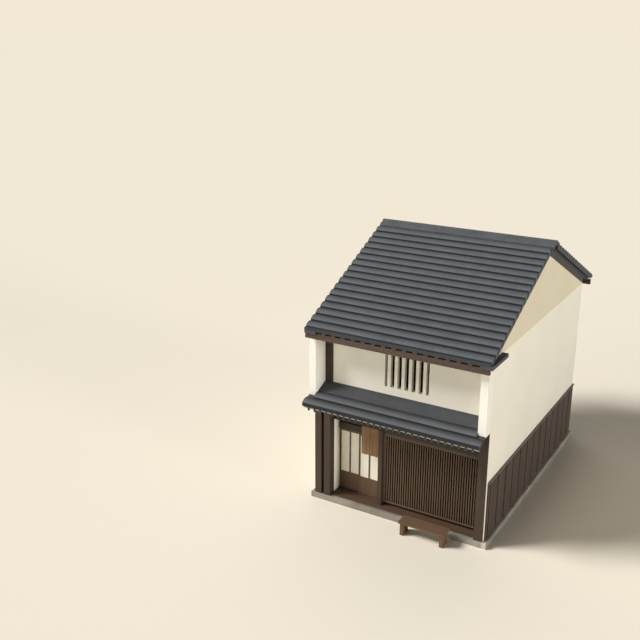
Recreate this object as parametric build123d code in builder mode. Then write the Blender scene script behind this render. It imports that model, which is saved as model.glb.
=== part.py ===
"""A two-storey machiya townhouse: timber front, plastered side walls, tiled gable roof.

Millimetres, Z up.  X runs along the street front and -Y faces the street.  The origin is on the
ground, under the middle of the ridge.
"""
import os

from build123d import *

os.makedirs("parts", exist_ok=True)

# Overall house
frontage = 5000
depth = 7280
wall_thickness = 200
eave_height = 5258
roof_pitch = 0.46
verge_shift = -150
verge_drop = 25

# Stone plinth and floors
plinth_height = 165
plinth_side_ledge = 110
plinth_front_ledge = 258
plinth_rear_ledge = 120
plinth_width = 420
plinth_chamfer = 12
ground_floor_drop = 25
upper_floor_thickness = 150

# Ground floor front, set out from the face of the upper wall
post_projection = 228
post_cover = 23
door_post_width = 200
right_post_width = 250
post_gap = 80
sill_projection = 149
sill_height = 45
centre_post_left = -630
centre_post_width = 100
centre_post_projection = 20
front_beam_bottom = 2450
front_beam_height = 250
front_beam_depth = 205

# Door recess and sliding leaves
recess_depth = 260
recess_wall_thickness = 130
recess_right_width = 190
lintel_top = 2265
lintel_height = 180
leaf_thickness = 35
leaf_overlap = 30
leaf_clearance = 6
leaf_seat_clearance = 0.3
leaf_stile = 45
leaf_top_rail = 75
leaf_muntin = 40
leaf_board_height = 530
leaf_paper_thickness = 6
door_rail_width = 12
door_rail_height = 6

# Lattice window
lattice_setback = 70
lattice_thickness = 60
lattice_bottom = 300
lattice_top = 2350
lattice_frame = 50
lattice_slat = 30
lattice_slat_count = 41
lattice_rail_depth = 24
lattice_rail_height = 18
lattice_rail_count = 3

# Upper storey
wing_projection = 521
wing_bottom = 3240
upper_wall_thickness = 150
column_width = 240
column_projection = 15
column_cover = 50
window_left = -516
window_bottom = 3762
window_height = 930
window_bar = 88
window_bar_depth = 120
window_bar_count = 6
window_gap = 114
window_end_gap = 80

# Main roof
rafter_height = 120
rafter_width = 110
rafter_bays = 16
deck_thickness = 142
deck_overhang = 640
eave_beam_depth = 80
eave_beam_height = 160
eave_beam_verge = 70
eave_seat_height = 55
eave_seat_width = 110
eave_seat_projection = 20
eave_seat_shift = 75
tile_verge = 95
tile_verge_rim = 80
tile_eave = 40
tile_rim_reach = 120
tile_rim_height = 80
tile_rim_step = 15
tile_rows = 17
tile_height = 100
tile_lip = 35
tile_crown_share = 0.55
ridge_verge = 150
ridge_half_width = 240
ridge_shoulder_width = 160
ridge_shoulder_height = 20
ridge_cap_half_width = 80
ridge_course_height = 40
ridge_cap_height = 60
ridge_beam_width = 180
ridge_beam_height = 220
cap_height = 98
cap_face = 20
cap_width = 320
cap_overhang = 158
cap_return = 300

# Pent roof over the street front
pent_deck_top = 3495
pent_pitch = 0.42
pent_projection = 860
pent_deck_thickness = 60
pent_flashing_width = 388
pent_flashing_height = 50
pent_tile_rows = 2
pent_tile_height = 75
pent_tile_lip = 25
pent_tile_eave = 30
pent_rafter_bays = 28
pent_rafter_width = 45
pent_rafter_height = 110
pent_board_setback = 20
pent_board_thickness = 20
pent_board_height = 65
pent_beam_height = 200

# Board wainscot
wainscot_height = 1660
wainscot_thickness = 35
wainscot_front_gap = 90
wainscot_rail_height = 40
wainscot_rail_projection = 15

# Half curtain over the door
curtain_left = -1190
curtain_width = 257
curtain_gap = 10
curtain_drop = 826
curtain_thickness = 4
curtain_setback = 50
curtain_clearance = 0.3
rod_radius = 12

# Bench on the street under the pent roof
bench_left = 375
bench_length = 1300
bench_front = 800
bench_depth = 390
bench_height = 400
bench_seat_thickness = 50
bench_leg_thickness = 90
bench_leg_inset = 45
bench_leg_setback = 35

# Faces worked out from the sizes above
half = frontage / 2
inner = half - wall_thickness
front_y = -depth / 2
rear_y = depth / 2
post_y = front_y - post_projection
cover_y = post_y + post_cover
wing_y = front_y - wing_projection
recess_y = front_y + recess_depth
recess_back = recess_y + recess_wall_thickness
upper_back = front_y + upper_wall_thickness
sill_top = plinth_height + sill_height
beam_top = front_beam_bottom + front_beam_height
apex_height = eave_height + roof_pitch * depth / 2
column_x = inner - column_width


def roof_under(y):
    """Height of the main rafters' underside at a depth."""
    return apex_height - roof_pitch * abs(y)


def verge_under(y):
    """Height of the verge rafters' underside, where the gables end; they are deeper at the rear."""
    return apex_height - verge_drop - roof_pitch * abs(y - verge_shift)


def deck_under(y):
    """Height of the main deck's underside at a depth."""
    return roof_under(y) + rafter_height


def deck_top(y):
    """Height of the main deck's upper face at a depth."""
    return deck_under(y) + deck_thickness


def pent_top(y):
    """Height of the pent roof's deck at a depth in front of the upper wall."""
    return pent_deck_top + pent_pitch * (y - front_y)


def block(x, y, z):
    """A plain block between pairs of faces."""
    with BuildSketch(Plane.XY.offset(z[0])) as plan:
        with Locations(((x[0] + x[1]) / 2, (y[0] + y[1]) / 2)):
            Rectangle(x[1] - x[0], y[1] - y[0])
    extrude(plan.sketch, amount=z[1] - z[0])


def side_profile(points, x):
    """A closed outline of (y, z) points, extruded along the street between two x faces."""
    with BuildSketch(Plane.YZ.offset(x[0])) as outline:
        with BuildLine():
            Polyline(*points, close=True)
        make_face()
    extrude(outline.sketch, amount=x[1] - x[0])


def cut_box(x, y, z):
    """A rectangular hole cut through what is built so far."""
    with Locations(((x[0] + x[1]) / 2, (y[0] + y[1]) / 2, (z[0] + z[1]) / 2)):
        Box(x[1] - x[0], y[1] - y[0], z[1] - z[0], mode=Mode.SUBTRACT)


def under_roof(y, bottom, x):
    """A wall, post or beam whose top follows the underside of the main rafters."""
    side_profile([(y[0], bottom), (y[1], bottom), (y[1], roof_under(y[1])), (y[0], roof_under(y[0]))], x)


# Granite plinth: a ring under the walls with eased top edges
plinth_x = half + plinth_side_ledge
plinth_y = (front_y - plinth_front_ledge, rear_y + plinth_rear_ledge)
floor_x = plinth_x - plinth_width
floor_y = (front_y + plinth_width, plinth_y[1] - plinth_width)
with BuildPart() as stone_plinth:
    block((-plinth_x, plinth_x), plinth_y, (0, plinth_height))
    chamfer(stone_plinth.edges().group_by(Axis.Z)[-1], plinth_chamfer)
    cut_box((-floor_x, floor_x), floor_y, (-plinth_height, 2 * plinth_height))
stone_plinth.part.label = "stone_plinth"
export_step(stone_plinth.part, "parts/stone_plinth.step")

# Earth floor inside the plinth
with BuildPart() as ground_floor:
    block((-floor_x, floor_x), floor_y, (0, plinth_height - ground_floor_drop))
ground_floor.part.label = "ground_floor"
export_step(ground_floor.part, "parts/ground_floor.step")

# Side walls, plastered, from the plinth to the foot of the gable triangles
gable_foot = verge_under(rear_y)
with BuildPart() as right_gable_wall:
    side_profile([(cover_y, plinth_height), (rear_y, plinth_height), (rear_y, gable_foot),
                  (front_y, gable_foot), (front_y, verge_under(front_y)),
                  (cover_y, verge_under(cover_y))], (inner, half))
right_gable_wall.part.label = "right_gable_wall"
export_step(right_gable_wall.part, "parts/right_gable_wall.step")

with BuildPart() as left_party_wall:
    block((-half, -inner), (front_y, rear_y), (plinth_height, gable_foot))
left_party_wall.part.label = "left_party_wall"
export_step(left_party_wall.part, "parts/left_party_wall.step")

# Clay panels that close the gables under the roof
gable_outline = [(front_y, gable_foot), (rear_y, gable_foot), (verge_shift, verge_under(verge_shift)),
                 (front_y, verge_under(front_y))]
with BuildPart() as gable_panels:
    for wall in ((-half, -inner), (inner, half)):
        side_profile(gable_outline, wall)
gable_panels.part.label = "gable_panels"
export_step(gable_panels.part, "parts/gable_panels.step")

# Wing walls: the side walls carried forward beside the upper storey, under the verge rafters
def wing_wall(back, x):
    """One wing wall from its front edge to the wall or post behind it."""
    side_profile([(wing_y, wing_bottom), (back, wing_bottom), (back, verge_under(back)),
                  (wing_y, verge_under(wing_y))], x)


with BuildPart() as wing_walls:
    wing_wall(front_y, (-half, -inner))
    wing_wall(cover_y, (inner, half))
wing_walls.part.label = "wing_walls"
export_step(wing_walls.part, "parts/wing_walls.step")

# Barred windows of the upper storey: the hole and its bars share these faces
window_bar_pitch = window_bar + window_gap
window_width = window_bar_count * window_bar_pitch - window_gap + 2 * window_end_gap
window_x = (window_left, window_left + window_width)
window_z = (window_bottom, window_bottom + window_height)


def window_bars(y):
    """Square plaster bars standing in a window."""
    for n in range(window_bar_count):
        bar_left = window_left + window_end_gap + n * window_bar_pitch
        block((bar_left, bar_left + window_bar), y, window_z)


with BuildPart() as upper_front_wall:
    under_roof((front_y, upper_back), beam_top, (-column_x, column_x))
    under_roof((front_y, front_y + column_cover), beam_top, (column_x, inner))
    cut_box(window_x, (front_y - upper_wall_thickness, upper_back + upper_wall_thickness), window_z)
upper_front_wall.part.label = "upper_front_wall"
export_step(upper_front_wall.part, "parts/upper_front_wall.step")

with BuildPart() as front_window_bars:
    window_bars((front_y, front_y + window_bar_depth))
front_window_bars.part.label = "front_window_bars"
export_step(front_window_bars.part, "parts/front_window_bars.step")

# Rear wall, plastered, with a barred window like the one in front
rear_wall_y = (rear_y - wall_thickness, rear_y)
with BuildPart() as rear_wall:
    under_roof(rear_wall_y, plinth_height, (-inner, inner))
    cut_box(window_x, (rear_wall_y[0] - wall_thickness, rear_wall_y[1] + wall_thickness), window_z)
rear_wall.part.label = "rear_wall"
export_step(rear_wall.part, "parts/rear_wall.step")

with BuildPart() as rear_window_bars:
    window_bars((rear_y - window_bar_depth, rear_y))
rear_window_bars.part.label = "rear_window_bars"
export_step(rear_window_bars.part, "parts/rear_window_bars.step")

# Dark corner columns of the upper storey: the left one shows and stands a little proud of the wall
# above the pent roof, the right one stands behind the plaster
flashing_top = pent_deck_top + pent_flashing_height
with BuildPart() as upper_columns:
    under_roof((front_y, upper_back), beam_top, (-inner, -column_x))
    under_roof((front_y - column_projection, front_y), flashing_top, (-inner, -column_x))
    under_roof((front_y + column_cover, upper_back), beam_top, (column_x, inner))
upper_columns.part.label = "upper_columns"
export_step(upper_columns.part, "parts/upper_columns.step")

# Beam over the street front and the floor of the upper storey behind it
with BuildPart() as front_beam:
    block((-inner, inner), (front_y, front_y + front_beam_depth), (front_beam_bottom, beam_top))
front_beam.part.label = "front_beam"
export_step(front_beam.part, "parts/front_beam.step")

upper_floor_bottom = beam_top - upper_floor_thickness
with BuildPart() as upper_floor:
    block((-inner, inner), (front_y + front_beam_depth, rear_wall_y[0]), (upper_floor_bottom, beam_top))
upper_floor.part.label = "upper_floor"
export_step(upper_floor.part, "parts/upper_floor.step")

# Beam on the posts that carries the pent roof's rafters
pent_beam_top = pent_top(post_y) - pent_deck_thickness - pent_rafter_height
pent_beam_bottom = pent_beam_top - pent_beam_height
right_post_left = half - right_post_width
with BuildPart() as pent_roof_beam:
    block((-inner, right_post_left), (post_y, front_y), (pent_beam_bottom, pent_beam_top))
pent_roof_beam.part.label = "pent_roof_beam"
export_step(pent_roof_beam.part, "parts/pent_roof_beam.step")

# Wooden sill along the street front, standing on the plinth
centre_post_right = centre_post_left + centre_post_width
door_left = -inner + post_gap + door_post_width
door_right = centre_post_right - recess_right_width
with BuildPart() as front_sill:
    block((-inner, right_post_left), (front_y - sill_projection, recess_back), (plinth_height, sill_top))
front_sill.part.label = "front_sill"
export_step(front_sill.part, "parts/front_sill.step")

# Posts at the ends of the street front; the right one is rebated for the gable wall's plaster
with BuildPart() as end_posts:
    block((-half, -inner), (post_y, front_y), (plinth_height, wing_bottom))
    block((right_post_left, half), (post_y, cover_y), (plinth_height, wing_bottom))
    block((right_post_left, inner), (cover_y, front_y), (plinth_height, wing_bottom))
end_posts.part.label = "end_posts"
export_step(end_posts.part, "parts/end_posts.step")

with BuildPart() as door_post:
    block((door_left - door_post_width, door_left), (post_y, front_y), (sill_top, pent_beam_bottom))
    block((door_left - door_post_width, door_left), (post_y, front_y - sill_projection),
          (plinth_height, sill_top))
door_post.part.label = "door_post"
export_step(door_post.part, "parts/door_post.step")

lattice_y = (front_y + lattice_setback, front_y + lattice_setback + lattice_thickness)
with BuildPart() as centre_post:
    block((centre_post_left, centre_post_right), (front_y - centre_post_projection, lattice_y[1]),
          (sill_top, front_beam_bottom))
    block((door_right, centre_post_right), (lattice_y[1], recess_y), (sill_top, front_beam_bottom))
centre_post.part.label = "centre_post"
export_step(centre_post.part, "parts/centre_post.step")

# Short plastered walls beside the door recess and, at its right, beside the leaves
with BuildPart() as recess_walls:
    block((-inner, door_left), (front_y, recess_back), (sill_top, front_beam_bottom))
    block((door_right, centre_post_right), (recess_y, recess_back), (sill_top, front_beam_bottom))
recess_walls.part.label = "recess_walls"
export_step(recess_walls.part, "parts/recess_walls.step")

# Lintel over the door, with an open transom between it and the beam under the floor
lintel_bottom = lintel_top - lintel_height
with BuildPart() as door_lintel:
    block((door_left, door_right), (recess_y, recess_back), (lintel_bottom, lintel_top))
door_lintel.part.label = "door_lintel"
export_step(door_lintel.part, "parts/door_lintel.step")

with BuildPart() as transom_beam:
    block((-inner, centre_post_right), (recess_y, recess_back), (front_beam_bottom, upper_floor_bottom))
transom_beam.part.label = "transom_beam"
export_step(transom_beam.part, "parts/transom_beam.step")

# Lattice window: a frame with close upright slats and cross rails behind them
lattice_x = (centre_post_right, inner)
slat_z = (lattice_bottom + lattice_frame, lattice_top - lattice_frame)
slat_run = lattice_x[1] - lattice_x[0] - 2 * lattice_frame - lattice_slat
slat_pitch = slat_run / (lattice_slat_count - 1)
rail_y = (lattice_y[1] - lattice_rail_depth, lattice_y[1])
with BuildPart() as front_lattice:
    block(lattice_x, lattice_y, (lattice_bottom, lattice_top))
    cut_box((lattice_x[0] + lattice_frame, lattice_x[1] - lattice_frame),
            (lattice_y[0] - lattice_thickness, lattice_y[1] + lattice_thickness), slat_z)
    with BuildSketch(Plane.XY.offset(slat_z[0])):
        for n in range(lattice_slat_count):
            slat_middle = lattice_x[0] + lattice_frame + lattice_slat / 2 + n * slat_pitch
            with Locations((slat_middle, (lattice_y[0] + rail_y[0]) / 2)):
                Rectangle(lattice_slat, rail_y[0] - lattice_y[0])
    extrude(amount=slat_z[1] - slat_z[0])
    rail_pitch = (lattice_top - lattice_bottom) / (lattice_rail_count + 1)
    for n in range(lattice_rail_count):
        rail_middle = lattice_bottom + (n + 1) * rail_pitch
        block((lattice_x[0] + lattice_frame, lattice_x[1] - lattice_frame), rail_y,
              (rail_middle - lattice_rail_height / 2, rail_middle + lattice_rail_height / 2))
front_lattice.part.label = "front_lattice"
export_step(front_lattice.part, "parts/front_lattice.step")

with BuildPart() as lattice_head_rail:
    block(lattice_x, lattice_y, (lattice_top, front_beam_bottom))
lattice_head_rail.part.label = "lattice_head_rail"
export_step(lattice_head_rail.part, "parts/lattice_head_rail.step")

# Sliding door leaves on two rails: a timber frame, a boarded foot and two paper panes
leaf_width = (door_right - door_left - 2 * leaf_clearance + leaf_overlap) / 2
leaf_z = (sill_top + door_rail_height + leaf_seat_clearance, lintel_bottom - leaf_clearance)
pane_z = (leaf_z[0] + leaf_board_height, leaf_z[1] - leaf_top_rail)
pane_width = (leaf_width - 2 * leaf_stile - leaf_muntin) / 2
right_leaf_y = (recess_y + leaf_clearance, recess_y + leaf_clearance + leaf_thickness)
left_leaf_y = (right_leaf_y[1] + leaf_clearance, right_leaf_y[1] + leaf_clearance + leaf_thickness)
left_leaf_x = door_left + leaf_clearance
right_leaf_x = door_right - leaf_clearance - leaf_width


def leaf_frame(left, y):
    """Frame and boarded foot of one door leaf, with its two pane openings cut out."""
    block((left, left + leaf_width), y, leaf_z)
    for start in (left + leaf_stile, left + leaf_stile + pane_width + leaf_muntin):
        cut_box((start, start + pane_width), (y[0] - leaf_thickness, y[1] + leaf_thickness), pane_z)


def leaf_paper(left, y):
    """The two sheets of paper of one leaf, at the middle of its thickness."""
    middle = (y[0] + y[1]) / 2
    for start in (left + leaf_stile, left + leaf_stile + pane_width + leaf_muntin):
        block((start, start + pane_width),
              (middle - leaf_paper_thickness / 2, middle + leaf_paper_thickness / 2), pane_z)


with BuildPart() as left_door_frame:
    leaf_frame(left_leaf_x, left_leaf_y)
left_door_frame.part.label = "left_door_frame"
export_step(left_door_frame.part, "parts/left_door_frame.step")

with BuildPart() as left_door_paper:
    leaf_paper(left_leaf_x, left_leaf_y)
left_door_paper.part.label = "left_door_paper"
export_step(left_door_paper.part, "parts/left_door_paper.step")

with BuildPart() as right_door_frame:
    leaf_frame(right_leaf_x, right_leaf_y)
right_door_frame.part.label = "right_door_frame"
export_step(right_door_frame.part, "parts/right_door_frame.step")

with BuildPart() as right_door_paper:
    leaf_paper(right_leaf_x, right_leaf_y)
right_door_paper.part.label = "right_door_paper"
export_step(right_door_paper.part, "parts/right_door_paper.step")

with BuildPart() as door_rails:
    for leaf_y in (left_leaf_y, right_leaf_y):
        track = (leaf_y[0] + leaf_y[1]) / 2
        block((door_left, door_right), (track - door_rail_width / 2, track + door_rail_width / 2),
              (sill_top, sill_top + door_rail_height))
door_rails.part.label = "door_rails"
export_step(door_rails.part, "parts/door_rails.step")

# Half curtain of two cloths on a rod under the front beam
rod_z = front_beam_bottom - rod_radius
curtain_y = front_y + curtain_setback
with BuildPart() as curtain_rod:
    with BuildSketch(Plane.YZ.offset(door_left)):
        with Locations((curtain_y, rod_z)):
            Circle(rod_radius)
    extrude(amount=centre_post_left - door_left)
curtain_rod.part.label = "curtain_rod"
export_step(curtain_rod.part, "parts/curtain_rod.step")

curtain_top = rod_z - rod_radius - curtain_clearance
with BuildPart() as door_curtain:
    for n in range(2):
        cloth_left = curtain_left + n * (curtain_width + curtain_gap)
        block((cloth_left, cloth_left + curtain_width),
              (curtain_y - curtain_thickness / 2, curtain_y + curtain_thickness / 2),
              (curtain_top - curtain_drop, curtain_top))
door_curtain.part.label = "door_curtain"
export_step(door_curtain.part, "parts/door_curtain.step")

# Board wainscot on the gable and the rear, with a rail along its top
wainscot_top = plinth_height + wainscot_height
wainscot_rear = rear_y + wainscot_thickness
gable_wainscot_y = (cover_y + wainscot_front_gap, wainscot_rear)
wainscot_rail_z = (wainscot_top - wainscot_rail_height, wainscot_top)
wainscot_rail_depth = wainscot_thickness + wainscot_rail_projection
with BuildPart() as gable_wainscot:
    block((half, half + wainscot_thickness), gable_wainscot_y, (plinth_height, wainscot_top))
    block((half, half + wainscot_rail_depth), gable_wainscot_y, wainscot_rail_z)
gable_wainscot.part.label = "gable_wainscot"
export_step(gable_wainscot.part, "parts/gable_wainscot.step")

with BuildPart() as rear_wainscot:
    block((-half, half), (rear_y, wainscot_rear), (plinth_height, wainscot_top))
    block((-half, half), (rear_y, rear_y + wainscot_rail_depth), wainscot_rail_z)
rear_wainscot.part.label = "rear_wainscot"
export_step(rear_wainscot.part, "parts/rear_wainscot.step")

# Eave beams across the rafters' ends, notched on top where they seat the tiles
rafter_pitch = 2 * inner / rafter_bays
tiles_x = (-half, half + tile_verge)
deck_end = depth / 2 + deck_overhang
tiles_end = deck_end + tile_eave
tile_foot = (tile_height + tile_lip) / 2
rim_top = deck_top(tiles_end) + tile_foot - tile_rim_step
rim_bottom = rim_top - tile_rim_height
eave_seat_bottom = rim_bottom - eave_seat_height


def eave_beam(side):
    """The beam at the street (side -1) or at the rear (side 1)."""
    block((-half, half + eave_beam_verge), sorted((side * deck_end, side * (deck_end + eave_beam_depth))),
          (eave_seat_bottom - eave_beam_height, eave_seat_bottom))
    for n in range(rafter_bays):
        seat_middle = eave_seat_shift - inner + n * rafter_pitch
        block((seat_middle - eave_seat_width / 2, seat_middle + eave_seat_width / 2),
              sorted((side * deck_end, side * (deck_end + eave_beam_depth + eave_seat_projection))),
              (eave_seat_bottom, rim_bottom))


with BuildPart() as front_eave_beam:
    eave_beam(-1)
front_eave_beam.part.label = "front_eave_beam"
export_step(front_eave_beam.part, "parts/front_eave_beam.step")

with BuildPart() as rear_eave_beam:
    eave_beam(1)
rear_eave_beam.part.label = "rear_eave_beam"
export_step(rear_eave_beam.part, "parts/rear_eave_beam.step")

# Ridge beam between the gables
with BuildPart() as ridge_beam:
    side_profile([(-ridge_beam_width / 2, roof_under(ridge_beam_width / 2) - ridge_beam_height),
                  (ridge_beam_width / 2, roof_under(ridge_beam_width / 2) - ridge_beam_height),
                  (ridge_beam_width / 2, roof_under(ridge_beam_width / 2)), (0, apex_height),
                  (-ridge_beam_width / 2, roof_under(ridge_beam_width / 2))], (-inner, inner))
ridge_beam.part.label = "ridge_beam"
export_step(ridge_beam.part, "parts/ridge_beam.step")


def slope_slab(side, under, height, reach, x):
    """A slab along one slope; side is -1 at the street and 1 at the rear."""
    eave = side * (depth / 2 + reach)
    side_profile([(0, under(0)), (eave, under(eave)), (eave, under(eave) + height), (0, under(0) + height)], x)


# Rafters between the gables
with BuildPart() as front_rafters:
    for n in range(1, rafter_bays):
        rafter_middle = -inner + n * rafter_pitch
        slope_slab(-1, roof_under, rafter_height, deck_overhang,
                   (rafter_middle - rafter_width / 2, rafter_middle + rafter_width / 2))
front_rafters.part.label = "front_rafters"
export_step(front_rafters.part, "parts/front_rafters.step")

with BuildPart() as rear_rafters:
    for n in range(1, rafter_bays):
        rafter_middle = -inner + n * rafter_pitch
        slope_slab(1, roof_under, rafter_height, deck_overhang,
                   (rafter_middle - rafter_width / 2, rafter_middle + rafter_width / 2))
rear_rafters.part.label = "rear_rafters"
export_step(rear_rafters.part, "parts/rear_rafters.step")

# Wide rafters on the gables: deeper on the rear slope, where they end at the rear wall
with BuildPart() as verge_rafters:
    for wall in ((-half, -inner), (inner, half)):
        side_profile([(verge_shift, verge_under(verge_shift)), (rear_y, verge_under(rear_y)),
                      (rear_y, deck_under(rear_y)), (0, deck_under(0)), (-deck_end, deck_under(deck_end)),
                      (-deck_end, verge_under(-deck_end))], wall)
verge_rafters.part.label = "verge_rafters"
export_step(verge_rafters.part, "parts/verge_rafters.step")

# Boarded and clay-bedded decks on the rafters
with BuildPart() as front_roof_deck:
    slope_slab(-1, deck_under, deck_thickness, deck_overhang, (-half, half))
front_roof_deck.part.label = "front_roof_deck"
export_step(front_roof_deck.part, "parts/front_roof_deck.step")

with BuildPart() as rear_roof_deck:
    slope_slab(1, deck_under, deck_thickness, deck_overhang, (-half, half))
rear_roof_deck.part.label = "rear_roof_deck"
export_step(rear_roof_deck.part, "parts/rear_roof_deck.step")


def tile_courses(side, start, end, rows, height, lip, surface, x):
    """Courses of rounded tiles down a slope, each swelling up and dropping to the next in a lip.

    Distances from the ridge or wall are start and end; surface gives the deck's height at a depth.
    """
    exposure = (end - start) / rows
    foot_height = (height + lip) / 2
    with BuildSketch(Plane.YZ.offset(x[0])) as courses:
        with BuildLine():
            top = (side * start, surface(side * start))
            last = (top[0], top[1] + lip)
            Line(top, last)
            for n in range(rows):
                crown_y = side * (start + (n + tile_crown_share) * exposure)
                low_y = side * (start + (n + 1) * exposure)
                foot = (low_y, surface(low_y) + foot_height)
                ThreePointArc(last, (crown_y, surface(crown_y) + height), foot)
                last = (low_y, surface(low_y) + (lip if n < rows - 1 else 0))
                Line(foot, last)
            Line(last, top)
        make_face()
    extrude(courses.sketch, amount=x[1] - x[0])


# Main roof tiles, running past the right gable and ending flush with the party wall, with a rim
# that hangs in front of the deck and another that hangs beside it along the right verge
verge_rim_end = tiles_end - tile_verge_rim / roof_pitch


def main_tiles(side):
    """The tiles of the slope at the street (side -1) or at the rear (side 1)."""
    tile_courses(side, ridge_half_width, tiles_end, tile_rows, tile_height, tile_lip, deck_top, tiles_x)
    block(tiles_x, sorted((side * deck_end, side * (deck_end + tile_rim_reach))), (rim_bottom, rim_top))
    side_profile([(side * ridge_half_width, deck_top(ridge_half_width)), (side * tiles_end, deck_top(tiles_end)),
                  (side * verge_rim_end, deck_top(tiles_end)),
                  (side * ridge_half_width, deck_top(ridge_half_width) - tile_verge_rim)],
                 (half, half + tile_verge))


with BuildPart() as front_roof_tiles:
    main_tiles(-1)
front_roof_tiles.part.label = "front_roof_tiles"
export_step(front_roof_tiles.part, "parts/front_roof_tiles.step")

with BuildPart() as rear_roof_tiles:
    main_tiles(1)
rear_roof_tiles.part.label = "rear_roof_tiles"
export_step(rear_roof_tiles.part, "parts/rear_roof_tiles.step")

# Ridge: a saddle with rounded shoulders over the top courses, under a round cap
ridge_shoulder = deck_top(0) + ridge_course_height
ridge_foot = deck_top(ridge_half_width) + tile_foot
ridge_swell = (ridge_foot + ridge_shoulder) / 2 + ridge_shoulder_height
with BuildPart() as ridge_tiles:
    with BuildSketch(Plane.YZ.offset(tiles_x[0])):
        with BuildLine():
            Polyline((-ridge_half_width, ridge_foot), (-ridge_half_width, deck_top(ridge_half_width)),
                     (0, deck_top(0)), (ridge_half_width, deck_top(ridge_half_width)),
                     (ridge_half_width, ridge_foot))
            ThreePointArc((ridge_half_width, ridge_foot), (ridge_shoulder_width, ridge_swell),
                          (ridge_cap_half_width, ridge_shoulder))
            ThreePointArc((ridge_cap_half_width, ridge_shoulder), (0, ridge_shoulder + ridge_cap_height),
                          (-ridge_cap_half_width, ridge_shoulder))
            ThreePointArc((-ridge_cap_half_width, ridge_shoulder), (-ridge_shoulder_width, ridge_swell),
                          (-ridge_half_width, ridge_foot))
        make_face()
    extrude(amount=half + ridge_verge - tiles_x[0])
ridge_tiles.part.label = "ridge_tiles"
export_step(ridge_tiles.part, "parts/ridge_tiles.step")

# Grey caps under the ends of the front eave; the right one turns back along the gable
rim_y = -deck_end - tile_rim_reach
cap_right = half + cap_overhang
cap_z = (deck_top(tiles_end) - cap_height, deck_top(tiles_end))
with BuildPart() as eave_caps:
    for cap_left in (-half, cap_right - cap_width):
        block((cap_left, cap_left + cap_width), (rim_y, rim_y + cap_face), (cap_z[0], rim_bottom))
    block((tiles_x[1], cap_right), (rim_y, -deck_end), cap_z)
    block((half, cap_right), (-deck_end, front_y + cap_return), cap_z)
eave_caps.part.label = "eave_caps"
export_step(eave_caps.part, "parts/eave_caps.step")

# Pent roof between the wings and, further forward, across them
pent_eave = front_y - pent_projection


def pent_slab(base, top, y, x):
    """A slab that follows the pent roof's slope between two heights above its deck."""
    side_profile([(y[0], pent_top(y[0]) + base), (y[1], pent_top(y[1]) + base),
                  (y[1], pent_top(y[1]) + top), (y[0], pent_top(y[0]) + top)], x)


def notch_for_wings(notch_y):
    """The corners behind a depth cut out of a full-width pent roof piece, for the wing walls."""
    for x in ((inner, frontage), (-frontage, -inner)):
        cut_box(x, (notch_y, front_y + depth), (0, eave_height))


with BuildPart() as pent_roof_deck:
    pent_slab(-pent_deck_thickness, 0, (pent_eave, front_y), (-half, half))
    notch_for_wings(wing_y)
pent_roof_deck.part.label = "pent_roof_deck"
export_step(pent_roof_deck.part, "parts/pent_roof_deck.step")

with BuildPart() as pent_roof_flashing:
    pent_slab(0, pent_flashing_height, (front_y - pent_flashing_width, front_y), (-inner, inner))
pent_roof_flashing.part.label = "pent_roof_flashing"
export_step(pent_roof_flashing.part, "parts/pent_roof_flashing.step")

# Pent roof tiles: only the last course crosses the wings, and its rim hangs in front of the deck
pent_tiles_start = depth / 2 + pent_flashing_width
pent_tiles_end = depth / 2 + pent_projection + pent_tile_eave
last_course_y = -(pent_tiles_end - (pent_tiles_end - pent_tiles_start) / pent_tile_rows)
with BuildPart() as pent_roof_tiles:
    tile_courses(-1, pent_tiles_start, pent_tiles_end, pent_tile_rows, pent_tile_height, pent_tile_lip,
                 pent_top, (-half, half))
    block((-half, half), (pent_eave - pent_tile_eave, pent_eave),
          (pent_top(pent_eave) - pent_deck_thickness, pent_top(pent_eave)))
    notch_for_wings(last_course_y)
pent_roof_tiles.part.label = "pent_roof_tiles"
export_step(pent_roof_tiles.part, "parts/pent_roof_tiles.step")

# Pent rafters: those in front of the wings stop there
pent_rafter_pitch = frontage / pent_rafter_bays
with BuildPart() as pent_rafters:
    for n in range(1, pent_rafter_bays):
        rafter_middle = -half + n * pent_rafter_pitch
        rafter_x = (rafter_middle - pent_rafter_width / 2, rafter_middle + pent_rafter_width / 2)
        rafter_back = front_y if -inner < rafter_x[0] and rafter_x[1] < inner else wing_y
        pent_slab(-pent_deck_thickness - pent_rafter_height, -pent_deck_thickness,
                  (pent_eave, rafter_back), rafter_x)
pent_rafters.part.label = "pent_rafters"
export_step(pent_rafters.part, "parts/pent_rafters.step")

# Plastered boards that close the pent eave between its rafters
pent_board_y = (pent_eave + pent_board_setback, pent_eave + pent_board_setback + pent_board_thickness)
with BuildPart() as pent_eave_boards:
    for n in range(pent_rafter_bays):
        board_left = -half + n * pent_rafter_pitch + pent_rafter_width / 2
        pent_slab(-pent_deck_thickness - pent_board_height, -pent_deck_thickness, pent_board_y,
                  (board_left, board_left + pent_rafter_pitch - pent_rafter_width))
pent_eave_boards.part.label = "pent_eave_boards"
export_step(pent_eave_boards.part, "parts/pent_eave_boards.step")

# Street bench: a plank on two board legs, in front of the lattice
bench_right = bench_left + bench_length
bench_y = (front_y - bench_front, front_y - bench_front + bench_depth)
seat_bottom = bench_height - bench_seat_thickness
with BuildPart() as street_bench:
    block((bench_left, bench_right), bench_y, (seat_bottom, bench_height))
    for leg_left in (bench_left + bench_leg_inset, bench_right - bench_leg_inset - bench_leg_thickness):
        block((leg_left, leg_left + bench_leg_thickness),
              (bench_y[0] + bench_leg_setback, bench_y[1] - bench_leg_setback), (0, seat_bottom))
street_bench.part.label = "street_bench"
export_step(street_bench.part, "parts/street_bench.step")
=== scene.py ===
"""A two-storey machiya townhouse, finished and set on a pale floor for its picture."""
import math

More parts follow.
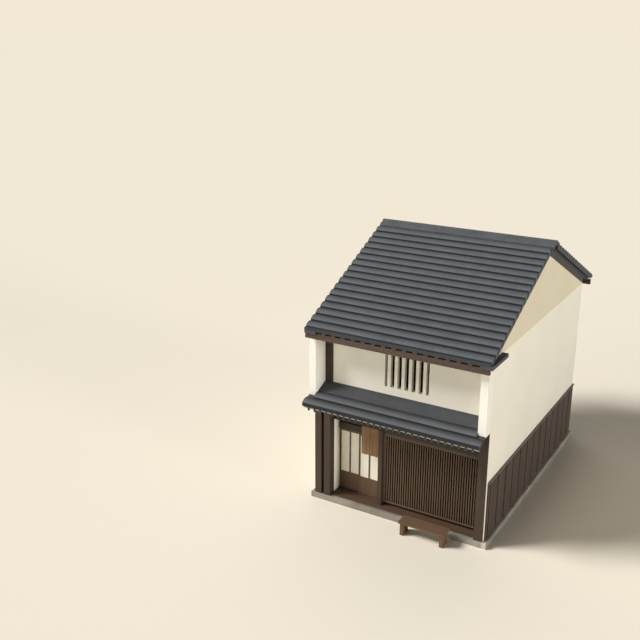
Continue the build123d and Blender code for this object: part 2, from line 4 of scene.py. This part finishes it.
import bmesh
import bpy
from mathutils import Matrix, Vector


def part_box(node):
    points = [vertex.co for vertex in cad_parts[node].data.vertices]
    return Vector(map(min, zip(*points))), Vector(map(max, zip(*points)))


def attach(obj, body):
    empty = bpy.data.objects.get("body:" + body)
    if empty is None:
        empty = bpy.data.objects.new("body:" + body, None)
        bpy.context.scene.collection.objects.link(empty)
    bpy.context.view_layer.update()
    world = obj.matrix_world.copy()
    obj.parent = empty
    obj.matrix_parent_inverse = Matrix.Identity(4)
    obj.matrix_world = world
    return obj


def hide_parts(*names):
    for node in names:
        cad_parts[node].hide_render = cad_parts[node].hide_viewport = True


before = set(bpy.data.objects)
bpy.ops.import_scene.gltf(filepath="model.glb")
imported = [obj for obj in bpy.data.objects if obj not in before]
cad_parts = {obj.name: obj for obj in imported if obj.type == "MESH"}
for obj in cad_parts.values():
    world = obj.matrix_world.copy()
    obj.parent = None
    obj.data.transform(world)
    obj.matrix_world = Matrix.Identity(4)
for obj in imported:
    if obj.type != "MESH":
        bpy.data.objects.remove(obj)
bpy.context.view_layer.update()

# Camera: the picture is taken from the right of the street front, from above the eaves, with a
# normal lens turned a little downwards.
camera_place = (9.092, -22.822, 12.959)
camera_tilt = 70.969
camera_turn = 31.103
camera_lens = 50
film_width = 36


def set_down(name, data):
    """A new object in the scene."""
    made = bpy.data.objects.new(name, data)
    bpy.context.scene.collection.objects.link(made)
    return made


camera = set_down("camera", bpy.data.cameras.new("camera"))
camera.location = camera_place
camera.rotation_euler = (math.radians(camera_tilt), 0, math.radians(camera_turn))
camera.data.lens = camera_lens
camera.data.sensor_width = film_width
bpy.context.scene.camera = camera

# Light: a soft lamp high at the front left throws the shadow to the right and the back. A very
# wide one behind the house darkens the floor before it, and low ones keep the front and the gable
# pale. The camera and glossy surfaces see a pale backdrop, and the dim sky lights the rest.
bpy.context.scene.view_settings.view_transform = "Standard"
sky_strength = 0.03
sky_tone = (1.0, 0.98, 0.94, 1.0)
backdrop_tone = (0.887, 0.807, 0.665, 1.0)


def soft_lamp(name, shines, strength, width):
    """A far lamp that shines along a direction; width is its apparent size in degrees."""
    lamp = set_down(name, bpy.data.lights.new(name, "SUN"))
    lamp.data.energy = strength
    lamp.data.angle = math.radians(width)
    lamp.rotation_euler = Vector(shines).to_track_quat("-Z", "Y").to_euler()


def plug(tree, socket, value):
    """Links an output to a socket, or gives the socket a value of its own."""
    if isinstance(value, bpy.types.NodeSocket):
        tree.links.new(value, socket)
    else:
        socket.default_value = value


def set_up(tree, kind, **values):
    """A node of a kind, with its settings and what its named inputs take."""
    made = tree.nodes.new(kind)
    for key, value in values.items():
        if hasattr(made, key):
            setattr(made, key, value)
        else:
            plug(tree, made.inputs[key.replace("_", " ")], value)
    return made


def reckon(tree, operation, *terms):
    """The result of a sum; each term is a number or an output."""
    made = set_up(tree, "ShaderNodeMath", operation=operation)
    for socket, term in zip(made.inputs, terms):
        plug(tree, socket, term)
    return made.outputs[0]


soft_lamp("key_lamp", shines=(1.0, 0.61, -1.0), strength=3.5, width=20)
soft_lamp("rear_lamp", shines=(0.55, -0.85, -1.0), strength=0.62, width=60)
soft_lamp("front_lamp", shines=(0.4, 1.0, -0.2), strength=0.90, width=40)
soft_lamp("side_lamp", shines=(-1.0, 0.12, -0.05), strength=2.30, width=16)

world = bpy.data.worlds.new("studio")
world.use_nodes = True
studio = world.node_tree
sky_light = studio.nodes["Background"]
sky_light.inputs["Color"].default_value = sky_tone
sky_light.inputs["Strength"].default_value = sky_strength
backdrop = set_up(studio, "ShaderNodeBackground", Color=backdrop_tone)
ray = studio.nodes.new("ShaderNodeLightPath")
direct_ray = reckon(studio, "MAXIMUM", ray.outputs["Is Camera Ray"], ray.outputs["Is Glossy Ray"])
seen_ray = reckon(studio, "MAXIMUM", direct_ray, ray.outputs["Is Transmission Ray"])
sky_or_backdrop = set_up(studio, "ShaderNodeMixShader", Fac=seen_ray)
studio.links.new(sky_light.outputs["Background"], sky_or_backdrop.inputs[1])
studio.links.new(backdrop.outputs["Background"], sky_or_backdrop.inputs[2])
studio.links.new(sky_or_backdrop.outputs[0], studio.nodes["World Output"].inputs["Surface"])
bpy.context.scene.world = world

# Floor: the pale studio floor that the house stands on, a hair below its plinth. It is not part
# of the house, and reaches far enough to meet the backdrop.
floor_reach = 900.0
floor_squares = 8
floor_drop = 0.001
floor_tone = (0.893, 0.812, 0.675, 1.0)


def mesh_piece(name, made):
    """A new object from a mesh made in code."""
    data = bpy.data.meshes.new(name)
    made.to_mesh(data)
    made.free()
    return set_down(name, data)


def new_finish(name, **values):
    """A fresh material and its node tree; the values go to the sockets of its main shader."""
    finish = bpy.data.materials.new(name)
    finish.use_nodes = True
    tree = finish.node_tree
    for key, value in values.items():
        tree.nodes["Principled BSDF"].inputs[key.replace("_", " ")].default_value = value
    return finish, tree


floor_grid = bmesh.new()
bmesh.ops.create_grid(floor_grid, x_segments=floor_squares, y_segments=floor_squares, size=floor_reach)
studio_floor = mesh_piece("studio_floor", floor_grid)
studio_floor.location.z = -floor_drop
floor_paint, _ = new_finish("pale_floor", Base_Color=floor_tone, Roughness=1.0, Specular_IOR_Level=0.0)
studio_floor.data.materials.append(floor_paint)

# Plinth: granite kerb stones on edge under the walls, rough cut on the faces, with narrow mortar
# joints. The stones along the gable carry painted light that makes them paler than those on the street.
stone_length = 0.87
stone_joint = 0.007
joint_tone = 0.55
gable_painted_light_tone = (1.87, 1.93, 1.98, 1.0)
gable_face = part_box("right_gable_wall")[1].x
gable_painted_light_start, gable_painted_light_end = gable_face - 0.05, gable_face + 0.02
line_core = 0.4


def effect_group(name, inputs, outputs):
    """An empty shader effect with named inputs and outputs."""
    tree = bpy.data.node_groups.new(name, "ShaderNodeTree")
    for socket, kind, value in inputs:
        made = tree.interface.new_socket(socket, in_out="INPUT", socket_type=kind)
        made.default_value = value
    for socket, kind in outputs:
        tree.interface.new_socket(socket, in_out="OUTPUT", socket_type=kind)
    return tree, tree.nodes.new("NodeGroupInput").outputs, tree.nodes.new("NodeGroupOutput").inputs


def on_piece(tree):
    """Where a point lies on the piece, in metres."""
    return tree.nodes.new("ShaderNodeTexCoord").outputs["Object"]


def rise(tree, value, start, end, **settings):
    """A mask that goes from 0 to 1 as a value goes from start to end."""
    made = set_up(tree, "ShaderNodeMapRange", Value=value, From_Min=start, From_Max=end, clamp=True,
                  **settings)
    return made.outputs["Result"]


def blend(tree, mask, first, second, blend_type="MIX"):
    """The first colour where a mask is 0 and the second, or their product, where it is 1."""
    made = set_up(tree, "ShaderNodeMix", data_type="RGBA", blend_type=blend_type)
    factor, first_color, second_color = made.inputs[0], made.inputs[6], made.inputs[7]
    plug(tree, factor, mask)
    plug(tree, first_color, first)
    plug(tree, second_color, second)
    return made.outputs[2]


def shade(tree, color, mask, by):
    """A colour darkened where a mask is 1, to a share of itself."""
    return blend(tree, mask, color, (by, by, by, 1.0), "MULTIPLY")


def repeat_line(tree, axis, pitch, start, half_width):
    """A mask that is 1 on thin lines at a pitch along an axis: joints, grooves or seams."""
    parts = set_up(tree, "ShaderNodeSeparateXYZ", Vector=on_piece(tree))
    from_start = reckon(tree, "SUBTRACT", parts.outputs[axis], start)
    from_line = reckon(tree, "PINGPONG", from_start, pitch / 2)
    return rise(tree, from_line, half_width, line_core * half_width, interpolation_type="SMOOTHSTEP")


def coat(tree, color, height=None, depth=0.0):
    """Gives a material its colour and, where a height is given, a relief of a depth in metres."""
    shader = tree.nodes["Principled BSDF"]
    tree.links.new(color, shader.inputs["Base Color"])
    if height is not None:
        relief = set_up(tree, "ShaderNodeBump", Height=height, Distance=depth, Strength=1.0)
        tree.links.new(relief.outputs["Normal"], shader.inputs["Normal"])


def dress(finish, *names):
    """Puts a finish on CAD pieces."""
    for name in names:
        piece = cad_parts[name]
        piece.data.materials.clear()
        piece.data.materials.append(finish)


# Mottling: soft clouds of tone with fine specks over them, as lime plaster, clay and stone have.
# The sizes of both are in metres.
mottle, mottle_in, mottle_out = effect_group(
    "mottle",
    [("Dark", "NodeSocketColor", (0.5, 0.5, 0.5, 1.0)),
     ("Light", "NodeSocketColor", (0.6, 0.6, 0.6, 1.0)),
     ("Cloud Size", "NodeSocketFloat", 1.0),
     ("Speck Size", "NodeSocketFloat", 0.01)],
    [("Color", "NodeSocketColor"), ("Height", "NodeSocketFloat")])
speck_share = 0.35
mottle_low, mottle_high = 0.45, 0.90
cloud_scale = reckon(mottle, "DIVIDE", 1.0, mottle_in["Cloud Size"])
speck_scale = reckon(mottle, "DIVIDE", 1.0, mottle_in["Speck Size"])
cloud = set_up(mottle, "ShaderNodeTexNoise", Vector=on_piece(mottle), Scale=cloud_scale,
               Detail=4.0, Roughness=0.55)
speck = set_up(mottle, "ShaderNodeTexNoise", Vector=on_piece(mottle), Scale=speck_scale,
               Detail=3.0, Roughness=0.6)
cloud_and_speck = reckon(mottle, "MULTIPLY_ADD", speck.outputs["Fac"], speck_share, cloud.outputs["Fac"])
mottle_mask = rise(mottle, cloud_and_speck, mottle_low, mottle_high)
mottle_tone = blend(mottle, mottle_mask, mottle_in["Dark"], mottle_in["Light"])
mottle.links.new(mottle_tone, mottle_out["Color"])
mottle.links.new(speck.outputs["Fac"], mottle_out["Height"])


def mottled(tree, dark, light, cloud_size, speck_size):
    """The mottling placed in a material: its colour and its height."""
    made = set_up(tree, "ShaderNodeGroup", node_tree=mottle, Dark=(*dark, 1.0), Light=(*light, 1.0),
                  Cloud_Size=cloud_size, Speck_Size=speck_size)
    return made.outputs["Color"], made.outputs["Height"]


granite, granite_tree = new_finish("plinth_granite", Roughness=0.85)
granite_tone, granite_height = mottled(granite_tree, (0.195, 0.172, 0.140), (0.33, 0.298, 0.245),
                                       cloud_size=0.5, speck_size=0.012)
for axis in ("X", "Y"):
    granite_joint = repeat_line(granite_tree, axis, stone_length, 0.0, stone_joint)
    granite_tone = shade(granite_tree, granite_tone, granite_joint, joint_tone)
# Painted light: the stones along the gable side are lightened.
granite_place = set_up(granite_tree, "ShaderNodeSeparateXYZ", Vector=on_piece(granite_tree))
gable_painted_light_mask = rise(granite_tree, granite_place.outputs["X"], gable_painted_light_start, gable_painted_light_end)
granite_tone = blend(granite_tree, gable_painted_light_mask, granite_tone, gable_painted_light_tone, "MULTIPLY")
coat(granite_tree, granite_tone, granite_height, depth=0.004)
dress(granite, "stone_plinth")

# Earth floor of the ground storey: clay, lime and brine beaten hard in one bed inside the plinth,
# and trodden smooth.
earth, earth_tree = new_finish("beaten_earth", Roughness=0.95)
earth_tone, earth_height = mottled(earth_tree, (0.20, 0.16, 0.12), (0.30, 0.25, 0.19),
                                   cloud_size=0.8, speck_size=0.01)
coat(earth_tree, earth_tone, earth_height, depth=0.003)
dress(earth, "ground_floor")

# Posts, sill and beams: planed cypress, jointed and rubbed with dark stain, with the grain along
# each piece. The front beam's near-black tone is painted shade under the pent roof, and the sill
# is worn paler by feet.
upright = (1.0, 1.0, 0.05)
along_street = (0.05, 1.0, 1.0)
along_depth = (1.0, 0.05, 1.0)

# Wood grain: fine streaks over broad bands. Run squeezes the axis that the grain follows, which
# draws both out along the piece.
grain, grain_in, grain_out = effect_group(
    "wood_grain",
    [("Dark", "NodeSocketColor", (0.05, 0.04, 0.03, 1.0)),
     ("Light", "NodeSocketColor", (0.1, 0.08, 0.06, 1.0)),
     ("Run", "NodeSocketVector", (1.0, 1.0, 0.05)),
     ("Fineness", "NodeSocketFloat", 60.0)],
    [("Color", "NodeSocketColor"), ("Height", "NodeSocketFloat")])
streak_share = 0.8
grain_low, grain_high = 0.65, 1.15
stretched = set_up(grain, "ShaderNodeVectorMath", operation="MULTIPLY")
grain.links.new(on_piece(grain), stretched.inputs[0])
grain.links.new(grain_in["Run"], stretched.inputs[1])
streak = set_up(grain, "ShaderNodeTexNoise", Vector=stretched.outputs[0], Scale=grain_in["Fineness"],
                Detail=3.0, Roughness=0.6, Distortion=0.3)
band = set_up(grain, "ShaderNodeTexNoise", Vector=stretched.outputs[0], Scale=6.0,
              Detail=2.0, Roughness=0.5)
streak_and_band = reckon(grain, "MULTIPLY_ADD", streak.outputs["Fac"], streak_share, band.outputs["Fac"])
grain_mask = rise(grain, streak_and_band, grain_low, grain_high)
grain_tone = blend(grain, grain_mask, grain_in["Dark"], grain_in["Light"])
grain.links.new(grain_tone, grain_out["Color"])
grain.links.new(streak.outputs["Fac"], grain_out["Height"])


def grained(tree, dark, light, run, fineness=60.0):
    """The wood grain placed in a material: its colour and its height."""
    made = set_up(tree, "ShaderNodeGroup", node_tree=grain, Dark=(*dark, 1.0), Light=(*light, 1.0),
                  Run=run, Fineness=fineness)
    return made.outputs["Color"], made.outputs["Height"]


def timber(name, dark, light, run, roughness=0.7, depth=0.0015):
    """Wood with its grain running along one axis."""
    finish, tree = new_finish(name, Roughness=roughness)
    coat(tree, *grained(tree, dark, light, run), depth)
    return finish


stained_posts = timber("stained_posts", (0.024, 0.0132, 0.0066), (0.047, 0.0260, 0.0130), upright)
dress(stained_posts, "end_posts", "door_post", "centre_post", "upper_columns")
stained_beams = timber("stained_beams", (0.028, 0.018, 0.011), (0.055, 0.036, 0.023), along_street)
dress(stained_beams, "pent_roof_beam", "door_lintel", "transom_beam", "lattice_head_rail",
      "ridge_beam", "door_rails")
# Painted shade: the front beam is near black where the pent roof shades it.
dress(timber("painted_shade_beam", (0.009, 0.007, 0.005), (0.016, 0.012, 0.009), along_street), "front_beam")
dress(timber("street_sill", (0.056, 0.029, 0.014), (0.106, 0.056, 0.027), along_street), "front_sill")

# Side, rear and upper walls: clay on bamboo laths, under a warm lime finish that is trowelled
# smooth. The bars of the windows are laths wound with straw rope and plastered the same.
plaster_roughness = 0.92
plaster_clouds, plaster_specks = 1.1, 0.02
plaster_relief = 0.003


def plaster(name, dark, light):
    """Lime or clay plaster with a trowelled face."""
    finish, tree = new_finish(name, Roughness=plaster_roughness)
    coat(tree, *mottled(tree, dark, light, plaster_clouds, plaster_specks), plaster_relief)
    return finish


lime_plaster = plaster("lime_plaster", (0.815, 0.770, 0.650), (0.855, 0.812, 0.694))
dress(lime_plaster, "right_gable_wall", "rear_wall", "upper_front_wall", "recess_walls",
      "front_window_bars", "rear_window_bars")

# Gable panels: the triangles under the roof keep their finishing coat of tan clay, because the
# verge shelters them from rain.
dress(plaster("clay_finish", (0.675, 0.605, 0.445), (0.715, 0.645, 0.480)), "gable_panels")

# Party wall: brown straw clay on laths. It is left without its lime finish, because the next
# house stands against it.
dress(plaster("straw_clay", (0.42, 0.37, 0.285), (0.51, 0.45, 0.355)), "left_party_wall")

# Wing walls: white lime on clay, trowelled smooth. The left one stands against the next house, so
# its outer face is left in the same straw clay as the party wall.
bare_clay_tone = (0.54, 0.49, 0.44, 1.0)
outer_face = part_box("wing_walls")[0].x
bare_from, bare_to = outer_face + 0.0010, outer_face + 0.0005
white_lime, lime_tree = new_finish("white_lime", Roughness=plaster_roughness)
lime_tone, lime_height = mottled(lime_tree, (0.84, 0.80, 0.70), (0.90, 0.87, 0.77),
                                 plaster_clouds, plaster_specks)
lime_place = set_up(lime_tree, "ShaderNodeSeparateXYZ", Vector=on_piece(lime_tree))
on_outer_face = rise(lime_tree, lime_place.outputs["X"], bare_from, bare_to)
lime_tone = blend(lime_tree, on_outer_face, lime_tone, bare_clay_tone, "MULTIPLY")
coat(lime_tree, lime_tone, lime_height, plaster_relief)
dress(white_lime, "wing_walls")

# Upper floor: wide planks of pine that run from front to rear, planed on top and nailed to the
# floor beams.
plank_width = 0.24
planks, plank_tree = new_finish("floor_planks", Roughness=0.6)
plank_tone, plank_height = grained(plank_tree, (0.15, 0.09, 0.055), (0.26, 0.17, 0.11), along_depth,
                                   fineness=40.0)
plank_joint = repeat_line(plank_tree, "X", plank_width, 0.0, half_width=0.004)
coat(plank_tree, shade(plank_tree, plank_tone, plank_joint, by=0.4), plank_height, depth=0.001)
dress(planks, "upper_floor")

# Lattice window: close upright slats of red cedar, planed and stained. They are tenoned into a
# frame and nailed to the cross rails that lie behind them.
dress(timber("lattice_slats", (0.080, 0.048, 0.026), (0.122, 0.074, 0.040), upright), "front_lattice")

# Sliding doors: two leaves of cedar, with rice paper in the upper panes and a boarded foot. Each
# leaf is tenoned together and slides on its own rail.
dress(timber("door_cedar", (0.084, 0.049, 0.023), (0.130, 0.078, 0.037), upright),
      "left_door_frame", "right_door_frame")
paper, paper_tree = new_finish("rice_paper", Roughness=0.8)
paper_tone, paper_height = mottled(paper_tree, (0.87, 0.80, 0.63), (0.94, 0.89, 0.75),
                                   cloud_size=0.4, speck_size=0.006)
coat(paper_tree, paper_tone, paper_height, depth=0.0006)
dress(paper, "left_door_paper", "right_door_paper")

# Curtain rod: a yellow-brown bamboo pole with a dark ring at each joint, held close under the front
# beam between the door post and the centre post.
bamboo_joint_pitch = 0.28
bamboo, bamboo_tree = new_finish("bamboo_pole", Roughness=0.45)
bamboo_tone, _ = grained(bamboo_tree, (0.17, 0.11, 0.05), (0.30, 0.21, 0.10), along_street, fineness=120.0)
bamboo_ring = repeat_line(bamboo_tree, "X", bamboo_joint_pitch, 0.0, half_width=0.006)
coat(bamboo_tree, shade(bamboo_tree, bamboo_tone, bamboo_ring, by=0.35))
dress(bamboo, "curtain_rod")

# Half curtain: two lengths of brown hemp that hang from the rod in shallow folds, a finger's
# breadth apart. They are woven in plain weave, and the folds deepen down to the hem.
curtain_low, curtain_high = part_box("door_curtain")
cloth_gap = 0.010
cloth_width = (curtain_high.x - curtain_low.x - cloth_gap) / 2
cloth_drop = curtain_high.z - curtain_low.z
cloth_depth = (curtain_low.y + curtain_high.y) / 2
cloth_thickness = 0.0015
columns, rows = 40, 60
fold_depth = 0.006
fold_at_rod = 0.15
small_fold = 0.45
folds_across, small_folds_across = 1.6, 3.1
thread_scale = 260.0

hemp, hemp_tree = new_finish("brown_hemp", Roughness=0.9, Sheen_Weight=0.2)


def threads(across):
    """The height of the threads that lie side by side along an axis."""
    made = set_up(hemp_tree, "ShaderNodeTexWave", wave_type="BANDS", bands_direction=across,
                  Vector=on_piece(hemp_tree), Scale=thread_scale, Distortion=1.0)
    return made.outputs["Fac"]


weave = reckon(hemp_tree, "MULTIPLY", threads("Z"), threads("X"))
hemp_tone, _ = mottled(hemp_tree, (0.195, 0.104, 0.043), (0.245, 0.138, 0.060),
                       cloud_size=0.35, speck_size=0.004)
coat(hemp_tree, hemp_tone, weave, depth=0.0006)


def hanging_cloth(name, left, phase):
    """One length of cloth, with folds that deepen from the rod down to the hem."""
    made = bmesh.new()
    lines = []
    for row in range(rows + 1):
        fall = row / rows
        deepening = fold_at_rod + (1 - fold_at_rod) * fall
        line = []
        for column in range(columns + 1):
            side = column / columns
            fold = math.sin(2 * math.pi * (folds_across * side + phase))
            fold += small_fold * math.sin(2 * math.pi * (small_folds_across * side + 2 * phase))
            y = cloth_depth + fold_depth * fold * deepening
            line.append(made.verts.new((left + side * cloth_width, y, curtain_high.z - fall * cloth_drop)))
        lines.append(line)
    for upper, lower in zip(lines, lines[1:]):
        for i in range(columns):
            made.faces.new((upper[i], upper[i + 1], lower[i + 1], lower[i]))
    cloth = mesh_piece(name, made)
    cloth.data.materials.append(hemp)
    for face in cloth.data.polygons:
        face.use_smooth = True
    thicken = cloth.modifiers.new("thickness", "SOLIDIFY")
    thicken.thickness = cloth_thickness
    thicken.offset = 0
    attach(cloth, "house")
    return cloth


left_cloth = hanging_cloth("left_curtain_cloth", curtain_low.x, 0.10)
right_cloth = hanging_cloth("right_curtain_cloth", curtain_low.x + cloth_width + cloth_gap, 0.55)
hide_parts("door_curtain")

# Wainscot: upright cedar boards nailed over the plaster's foot, charred dark against the rain,
# with dark battens in the joints between them and a moulded rail along the top.
board_pitch = 0.57
board_gap = 0.055
first_board = 0.16
narrowest_board = 2 * board_gap
row_end = 0.02
rail_height = 0.04
rail_projection = 0.015
batten_depth = 0.008
board_edge = 0.006
rounding = 0.0001
X_AXIS, Y_AXIS = 0, 1


def board_wall(name, replaced, across, *finishes):
    """Boards, rail and battens in the space of a CAD wainscot; across is the axis of its row of boards.

    The finishes are those of the boards, the rail and the battens.
    """
    low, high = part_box(replaced)
    out = X_AXIS if across == Y_AXIS else Y_AXIS
    rail_depth = (high - low)[out]
    board_top = high.z - rail_height
    starts = [low[across]]
    while starts[-1] < high[across] - row_end:
        step = first_board if len(starts) == 1 else board_pitch
        starts.append(min(starts[-1] + step, high[across]))
    boxes = [(start, end - board_gap, rail_depth - rail_projection, low.z, board_top)
             for start, end in zip(starts, starts[1:]) if end - start > narrowest_board]
    boxes.append((low[across], high[across], rail_depth, board_top, high.z))
    boxes.append((low[across], high[across], batten_depth, low.z, board_top))
    made = bmesh.new()
    for start, end, depth, bottom, top in boxes:
        corner = Vector(low)
        corner[across] = start
        corner.z = bottom
        size = Vector((0, 0, top - bottom))
        size[across] = end - start
        size[out] = depth
        for vert in bmesh.ops.create_cube(made, size=1.0)["verts"]:
            vert.co = corner + Vector([(vert.co[axis] + 0.5) * size[axis] for axis in range(3)])
    bmesh.ops.bevel(made, geom=list(made.edges), offset=board_edge, segments=1, affect="EDGES",
                    clamp_overlap=True)
    wall = mesh_piece(name, made)
    for finish in finishes:
        wall.data.materials.append(finish)
    for face in wall.data.polygons:
        if face.center.z > board_top:
            face.material_index = 1
        elif abs(face.center[out] - low[out]) <= batten_depth + rounding:
            face.material_index = 2
    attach(wall, "house")
    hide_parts(replaced)


charred = timber("charred_cedar", (0.036, 0.0235, 0.0160), (0.062, 0.0420, 0.0290), upright,
                 roughness=0.85, depth=0.002)
rail_wood = timber("wainscot_rail", (0.10, 0.080, 0.063), (0.18, 0.145, 0.115), along_depth, roughness=0.75)
batten_wood = timber("wainscot_battens", (0.008, 0.006, 0.005), (0.014, 0.011, 0.009), upright, roughness=0.9)
board_wall("gable_boards", "gable_wainscot", Y_AXIS, charred, rail_wood, batten_wood)
board_wall("rear_boards", "rear_wainscot", X_AXIS, charred, rail_wood, batten_wood)

# Eave beams, rafters and decks: squared timber, pegged together. The beams stay brown under the
# eaves, the main rafters turn silver in the weather, and the pent roof's wood and the decks are
# near black with painted shade under the roofs.
dress(timber("eave_beams", (0.048, 0.0275, 0.020), (0.082, 0.049, 0.036), along_street),
      "front_eave_beam", "rear_eave_beam")
dress(timber("silvered_rafters", (0.075, 0.070, 0.062), (0.135, 0.128, 0.115), along_depth),
      "front_rafters", "rear_rafters")
# Painted shade: the pent rafters, the decks and the verge rafters are near black under the roofs.
dress(timber("painted_shade_rafters", (0.030, 0.026, 0.022), (0.060, 0.053, 0.045), along_depth), "pent_rafters")
dress(timber("painted_shade_decks", (0.018, 0.018, 0.017), (0.038, 0.037, 0.035), along_street),
      "front_roof_deck", "rear_roof_deck", "verge_rafters", "pent_roof_deck")

# Eave boards of the pent roof: short boards let in between the rafter ends, and plastered over
# against birds and draught.
dress(plaster("eave_filling", (0.42, 0.43, 0.38), (0.52, 0.53, 0.48)), "pent_eave_boards")

# Roof tiles: smoked clay tiles in level courses, bedded in clay, each course lipping over the
# next. They are silver-grey, darkened by painted shade towards the lip above each course, with a
# line of painted shadow along each lip.
tile_width = 0.265
tile_joint = 0.004
lip_face = 0.006
lip_shadow_half_width = 0.018
tile_roughness = 0.65
tile_gloss = 0.1
tile_relief = 0.002
under_lip_shade_tone, lip_shadow_tone, tile_joint_tone = 0.27, 0.90, 0.8
under_lip_shade_start, under_lip_shade_end = 0.90, 0.15
STREET, REAR = -1, 1


def tiled(name, first_course, exposure, slope_side, dark, light):
    """Smoked tiles whose courses start at a distance from the ridge line and repeat down one slope."""
    finish, tree = new_finish(name, Roughness=tile_roughness, Specular_IOR_Level=tile_gloss)
    tone, height = mottled(tree, dark, light, cloud_size=0.45, speck_size=0.015)
    place = set_up(tree, "ShaderNodeSeparateXYZ", Vector=on_piece(tree))
    courses = reckon(tree, "MULTIPLY_ADD", place.outputs["Y"], slope_side / exposure,
                     (lip_face - first_course) / exposure)
    down_course = reckon(tree, "FRACT", courses)
    # Painted shade: each course darkens towards the lip above it, and a painted shadow line runs along each
    # lip.
    under_lip_shade_mask = rise(tree, down_course, under_lip_shade_start, under_lip_shade_end)
    lip_shadow_mask = repeat_line(tree, "Y", exposure, first_course * slope_side, lip_shadow_half_width)
    joint = repeat_line(tree, "X", tile_width, 0.0, tile_joint)
    tone = shade(tree, tone, under_lip_shade_mask, under_lip_shade_tone)
    tone = shade(tree, tone, lip_shadow_mask, lip_shadow_tone)
    tone = shade(tree, tone, joint, tile_joint_tone)
    coat(tree, tone, height, tile_relief)
    return finish


main_courses = 17
main_overhang = 0.04
main_first = -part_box("front_roof_tiles")[1].y
main_last = main_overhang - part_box("front_roof_deck")[0].y
main_exposure = (main_last - main_first) / main_courses
main_tones = (0.097, 0.104, 0.112), (0.121, 0.129, 0.138)
dress(tiled("smoked_tiles_front", main_first, main_exposure, STREET, *main_tones), "front_roof_tiles")
dress(tiled("smoked_tiles_rear", main_first, main_exposure, REAR, *main_tones), "rear_roof_tiles")

pent_courses = 2
pent_eave, pent_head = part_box("pent_roof_tiles")
pent_first = -pent_head.y
pent_exposure = (pent_head.y - pent_eave.y) / pent_courses
pent_tones = (0.103, 0.107, 0.115), (0.125, 0.130, 0.139)
dress(tiled("smoked_tiles_pent", pent_first, pent_exposure, STREET, *pent_tones), "pent_roof_tiles")

# Ridge, flashing and eave caps: smoked clay too, in long pieces with no courses, bedded over the
# top courses, against the upper wall and at the ends of the front eave.
ridge_tile_length = 0.53


def plain_tile(name, dark, light):
    """Smoked clay with joints across the run of the roof."""
    finish, tree = new_finish(name, Roughness=tile_roughness, Specular_IOR_Level=tile_gloss)
    tone, height = mottled(tree, dark, light, cloud_size=0.5, speck_size=0.015)
    joint = repeat_line(tree, "X", ridge_tile_length, 0.0, half_width=0.005)
    coat(tree, shade(tree, tone, joint, by=0.75), height, tile_relief)
    return finish


dress(plain_tile("smoked_ridge", (0.072, 0.076, 0.081), (0.098, 0.103, 0.109)), "ridge_tiles")
dress(plain_tile("smoked_flashing", (0.058, 0.060, 0.063), (0.074, 0.077, 0.081)), "pent_roof_flashing")
dress(plain_tile("smoked_caps", (0.060, 0.062, 0.065), (0.085, 0.088, 0.090)), "eave_caps")

# Street bench: a thick plank housed into two board legs, greyed by the weather. It stands on the
# street by itself.
dress(timber("bench_plank", (0.092, 0.052, 0.024), (0.148, 0.086, 0.041), along_street,
             roughness=0.85, depth=0.003), "street_bench")
